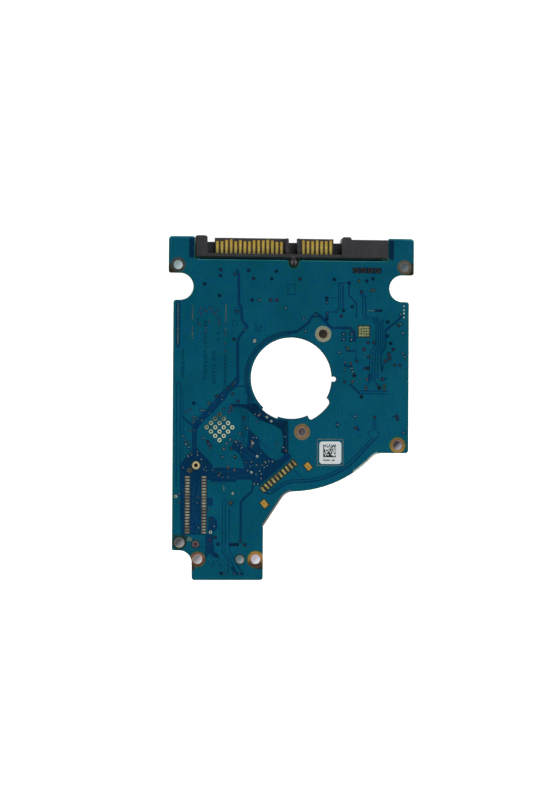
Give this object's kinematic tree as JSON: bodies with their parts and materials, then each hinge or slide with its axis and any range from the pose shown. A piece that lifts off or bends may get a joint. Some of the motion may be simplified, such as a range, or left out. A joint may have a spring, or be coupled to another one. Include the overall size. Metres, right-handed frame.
{
  "type": "hard disk drive logic board",
  "caption": "Logic board of a compact hard disk drive: ring-shaped opening for the spindle motor, edge connector with jumper block, plated screw holes, test pads and parts underneath.",
  "frame": {"origin": "under the middle of the part's box, at the connector's underside", "axes": "+Z out of the board's outer (solder) face, +Y towards the edge connector, +X to the right seen on the outer face"},
  "size_m": [0.068, 0.0948, 0.0049],
  "materials": {
    "laminate": "matte",
    "solder_mask": "gloss",
    "tarnished_copper": "satin",
    "gold_plate": "satin",
    "solder_tin": "satin",
    "label_paper": "matte",
    "connector_plastic": "matte",
    "package_plastic": "matte",
    "sensor_ceramic": "matte",
    "nickel_lid": "satin",
    "ferrite": "matte",
    "winding_copper": "satin",
    "capacitor_ceramic": "satin",
    "resistor_glaze": "gloss",
    "header_plastic": "matte"
  },
  "bodies": {
    "board": {"board_laminate": "laminate", "solder_mask_outer": "solder_mask", "solder_mask_inner": "solder_mask", "corner_hole_plating": "tarnished_copper", "middle_hole_plating": "gold_plate", "tail_hole_plating": "tarnished_copper", "locator_hole_plating": "gold_plate", "jumper_hole_plating": "tarnished_copper", "head_test_pads": "gold_plate", "service_pads": "gold_plate", "service_hold_down_pads": "gold_plate", "driver_thermal_pads": "solder_tin", "controller_ground_pad": "gold_plate", "id_label": "label_paper", "connector_housing": "connector_plastic", "power_contacts": "gold_plate", "signal_contacts": "gold_plate", "jumper_pins": "gold_plate", "connector_hold_downs": "solder_tin", "controller_chip": "package_plastic", "controller_leads": "solder_tin", "cache_memory_chip": "package_plastic", "cache_memory_leads": "solder_tin", "motor_driver_chip": "package_plastic", "motor_driver_leads": "solder_tin", "boot_flash_chip": "package_plastic", "boot_flash_leads": "solder_tin", "crystal_base": "sensor_ceramic", "crystal_lid": "nickel_lid", "shock_sensors": "sensor_ceramic", "shock_sensor_terminals": "solder_tin", "power_inductor_shields": "ferrite", "power_inductor_cores": "ferrite", "power_inductor_windings": "winding_copper", "power_inductor_terminals": "solder_tin", "transient_diodes": "package_plastic", "transient_diode_leads": "solder_tin", "power_transistors": "package_plastic", "power_transistor_leads": "solder_tin", "large_capacitors": "capacitor_ceramic", "large_capacitor_terminals": "solder_tin", "small_capacitors": "capacitor_ceramic", "small_capacitor_terminals": "solder_tin", "chip_resistors": "resistor_glaze", "chip_resistor_terminals": "solder_tin", "head_connector_housing": "header_plastic", "head_connector_contacts": "gold_plate", "head_connector_tabs": "solder_tin", "motor_contact_block": "header_plastic", "motor_contact_tails": "gold_plate"},
    "motor_contact_1": {"motor_contact_spring_1": "gold_plate"},
    "motor_contact_2": {"motor_contact_spring_2": "gold_plate"},
    "motor_contact_3": {"motor_contact_spring_3": "gold_plate"},
    "motor_contact_4": {"motor_contact_spring_4": "gold_plate"}
  },
  "joints": [
    {"name": "motor_contact_press_1", "type": "hinge", "parent": "board", "child": "motor_contact_1", "pos_m": [-0.00985, -0.01094, 0.00285], "axis": [-0.9373, 0.3486, 0], "range_deg": [0, 10], "stiffness_Nm_per_rad": 0.01},
    {"name": "motor_contact_press_2", "type": "hinge", "parent": "board", "child": "motor_contact_2", "pos_m": [-0.00826, -0.01153, 0.00285], "axis": [-0.9373, 0.3486, 0], "range_deg": [0, 10], "stiffness_Nm_per_rad": 0.01},
    {"name": "motor_contact_press_3", "type": "hinge", "parent": "board", "child": "motor_contact_3", "pos_m": [-0.00666, -0.01212, 0.00285], "axis": [-0.9373, 0.3486, 0], "range_deg": [0, 10], "stiffness_Nm_per_rad": 0.01},
    {"name": "motor_contact_press_4", "type": "hinge", "parent": "board", "child": "motor_contact_4", "pos_m": [-0.00507, -0.01272, 0.00285], "axis": [-0.9373, 0.3486, 0], "range_deg": [0, 10], "stiffness_Nm_per_rad": 0.01}
  ]
}
